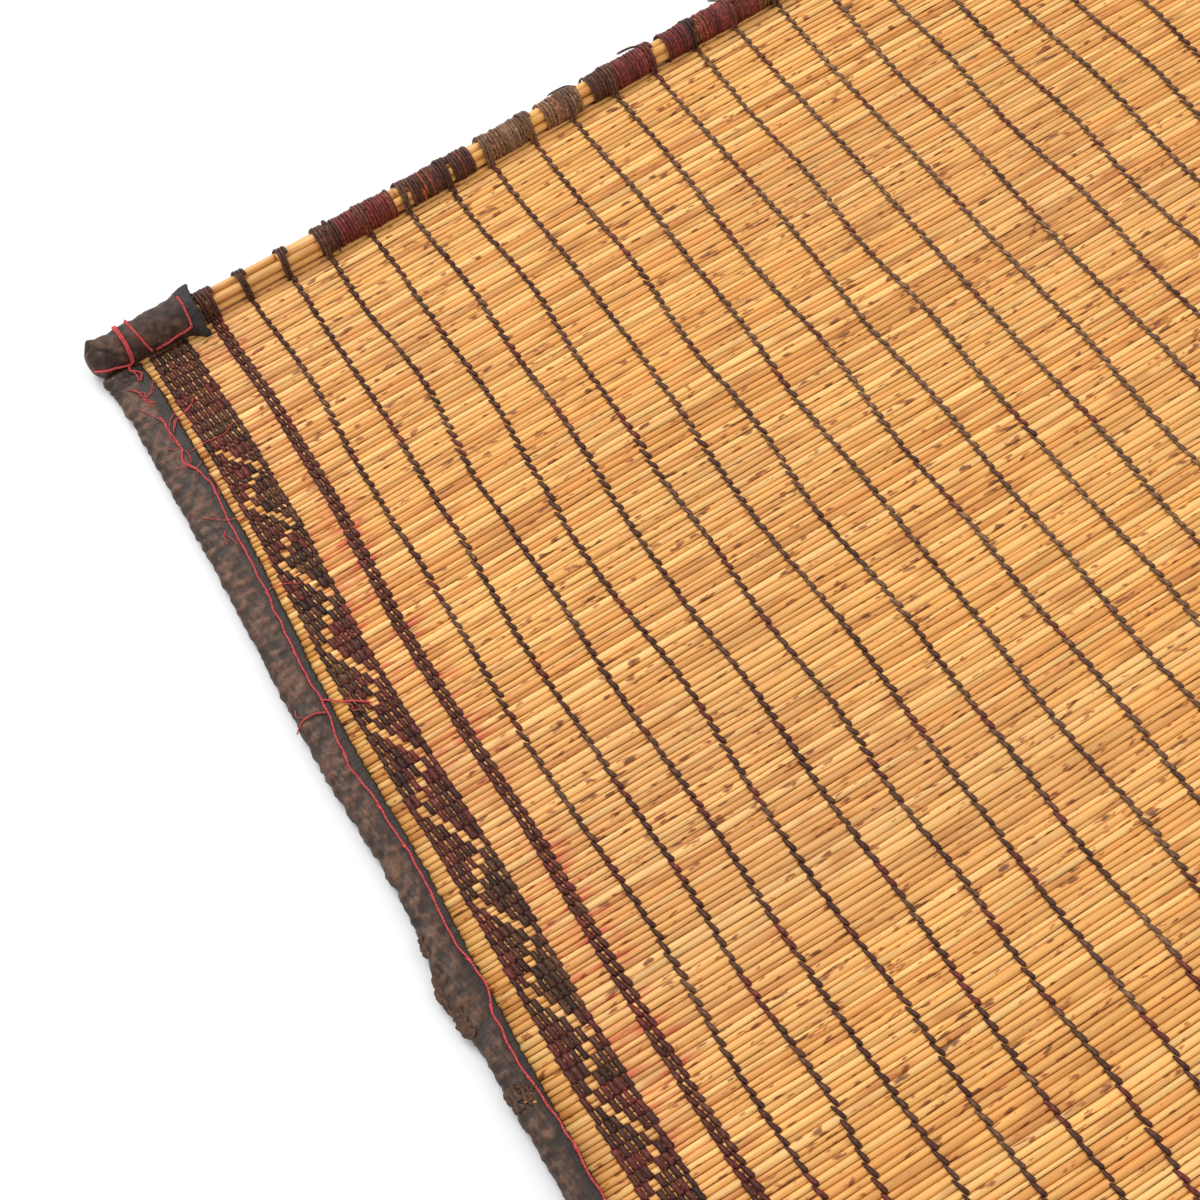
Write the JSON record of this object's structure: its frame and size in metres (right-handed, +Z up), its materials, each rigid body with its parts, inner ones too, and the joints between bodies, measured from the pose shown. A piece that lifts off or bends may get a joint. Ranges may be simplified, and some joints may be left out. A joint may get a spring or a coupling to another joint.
{
  "type": "tuareg mat",
  "caption": "Flat mat of golden reeds twined with dark leather thongs, leather folded over both sides, lashed reed bundles at both ends and leather corner caps.",
  "frame": {"origin": "On the floor under the middle of the mat", "axes": "+X along the reeds towards the right binding, +Y along the thongs towards the head bundle, +Z up from the floor"},
  "size_m": [0.8234, 0.9994, 0.0197],
  "materials": {
    "reed": "golden dry grass stems, slightly glossy, with brown joints and red dye stains",
    "binding_leather": "dark brown goat leather, puckered, worn pale on the ridges",
    "cap_leather": "dark brown rolled leather, dull",
    "lashing_leather": "maroon to grey-brown twisted leather thong"
  },
  "bodies": {
    "root": {"reed_field": "reed", "binding_left": "binding_leather", "binding_right": "binding_leather", "bundle_head": "reed", "lashing_head_01": "lashing_leather", "lashing_head_02": "lashing_leather", "lashing_head_03": "lashing_leather", "lashing_head_04": "lashing_leather", "lashing_head_05": "lashing_leather", "lashing_head_06": "lashing_leather", "lashing_head_07": "lashing_leather", "lashing_head_08": "lashing_leather", "lashing_head_09": "lashing_leather", "lashing_head_10": "lashing_leather", "cap_head_left": "cap_leather", "cap_head_right": "cap_leather", "bundle_foot": "reed", "lashing_foot_01": "lashing_leather", "lashing_foot_02": "lashing_leather", "lashing_foot_03": "lashing_leather", "lashing_foot_04": "lashing_leather", "lashing_foot_05": "lashing_leather", "lashing_foot_06": "lashing_leather", "lashing_foot_07": "lashing_leather", "lashing_foot_08": "lashing_leather", "lashing_foot_09": "lashing_leather", "lashing_foot_10": "lashing_leather", "cap_foot_left": "cap_leather", "cap_foot_right": "cap_leather"}
  },
  "joints": []
}
